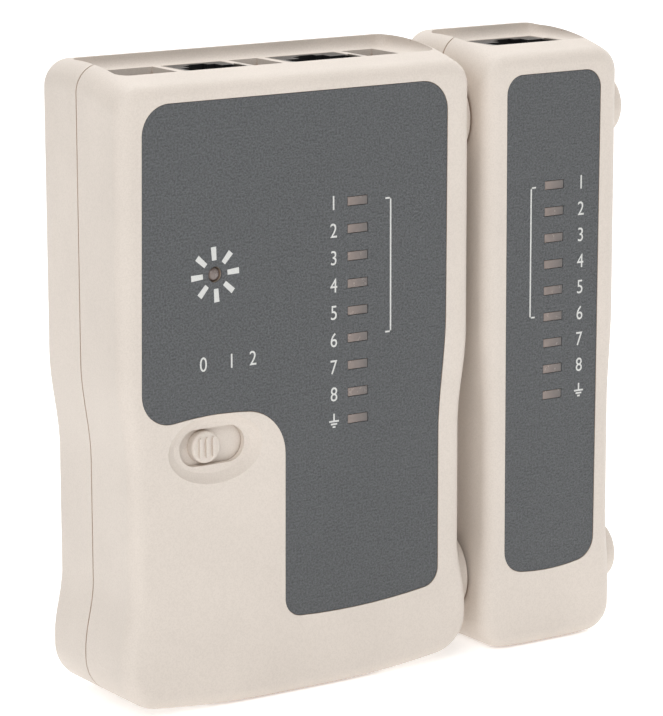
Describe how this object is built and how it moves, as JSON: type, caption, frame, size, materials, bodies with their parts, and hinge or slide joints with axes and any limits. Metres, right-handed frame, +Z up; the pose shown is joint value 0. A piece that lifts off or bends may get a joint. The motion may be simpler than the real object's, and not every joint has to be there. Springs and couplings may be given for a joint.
{
  "type": "network cable tester",
  "caption": "Hand-held network cable tester: a cream master unit with modular jacks, an indicator column and a slide switch, beside a slimmer separate remote unit",
  "frame": {"origin": "centre of the pair's footprint, on the surface that the units stand on", "axes": "+X to the right across the front face, +Y from the front face to the back, +Z up towards the jacks"},
  "size_m": [0.1032, 0.0254, 0.107],
  "materials": {
    "battery": "unmarked jacket",
    "case": "fine grained cream",
    "wire_black": "black sleeve",
    "wire_red": "red sleeve",
    "snap": "black vinyl",
    "terminal": "nickel plated",
    "chip": "black epoxy",
    "capacitor": "dark sleeve",
    "screw": "zinc plated",
    "board": "green board",
    "label": "finely textured grey sheet",
    "lens": "smoked translucent",
    "gasket": "dark brown fibre sheet",
    "axial_part": "tan lacquer",
    "contact": "gold flashed",
    "jack_plastic": "black",
    "shield": "tinned",
    "switch": "steel frame",
    "knob": "cream"
  },
  "bodies": {
    "master": {"battery_case": "battery", "battery_lead_black": "wire_black", "battery_lead_red": "wire_red", "battery_snap": "snap", "battery_terminals": "terminal", "counter_chip": "chip", "electrolytic_capacitor": "capacitor", "master_back_shell": "case", "master_board_screws": "screw", "master_case_screws": "screw", "master_circuit_board": "board", "master_front_shell": "case", "master_label": "label", "master_led_1": "lens", "master_led_2": "lens", "master_led_3": "lens", "master_led_4": "lens", "master_led_5": "lens", "master_led_6": "lens", "master_led_7": "lens", "master_led_8": "lens", "master_led_g": "lens", "master_port_gasket": "gasket", "master_resistors": "axial_part", "master_rj11_contacts": "contact", "master_rj11_housing": "jack_plastic", "master_rj11_shield": "shield", "master_rj45_contacts": "contact", "master_rj45_housing": "jack_plastic", "master_rj45_shield": "shield", "power_led": "lens", "switch_housing": "switch", "timer_chip": "chip"},
    "switch": {"switch_knob": "knob", "switch_actuator": "switch"},
    "cover": {"battery_cover": "case"},
    "remote": {"remote_back_shell": "case", "remote_board_screws": "screw", "remote_case_screws": "screw", "remote_circuit_board": "board", "remote_diodes": "axial_part", "remote_front_shell": "case", "remote_label": "label", "remote_led_1": "lens", "remote_led_2": "lens", "remote_led_3": "lens", "remote_led_4": "lens", "remote_led_5": "lens", "remote_led_6": "lens", "remote_led_7": "lens", "remote_led_8": "lens", "remote_led_g": "lens", "remote_port_gasket": "gasket", "remote_rj45_contacts": "contact", "remote_rj45_housing": "jack_plastic", "remote_rj45_shield": "shield"}
  },
  "joints": [
    {"name": "switch_slide", "type": "slide", "parent": "master", "child": "switch", "axis": [1, 0, 0], "range_m": [0, 0.004]},
    {"name": "cover_slide", "type": "slide", "parent": "master", "child": "cover", "axis": [0, 0, -1], "range_m": [0, 0.045]},
    {"name": "remote_separate", "type": "slide", "parent": "master", "child": "remote", "axis": [1, 0, 0], "range_m": [0, 0.06]}
  ]
}
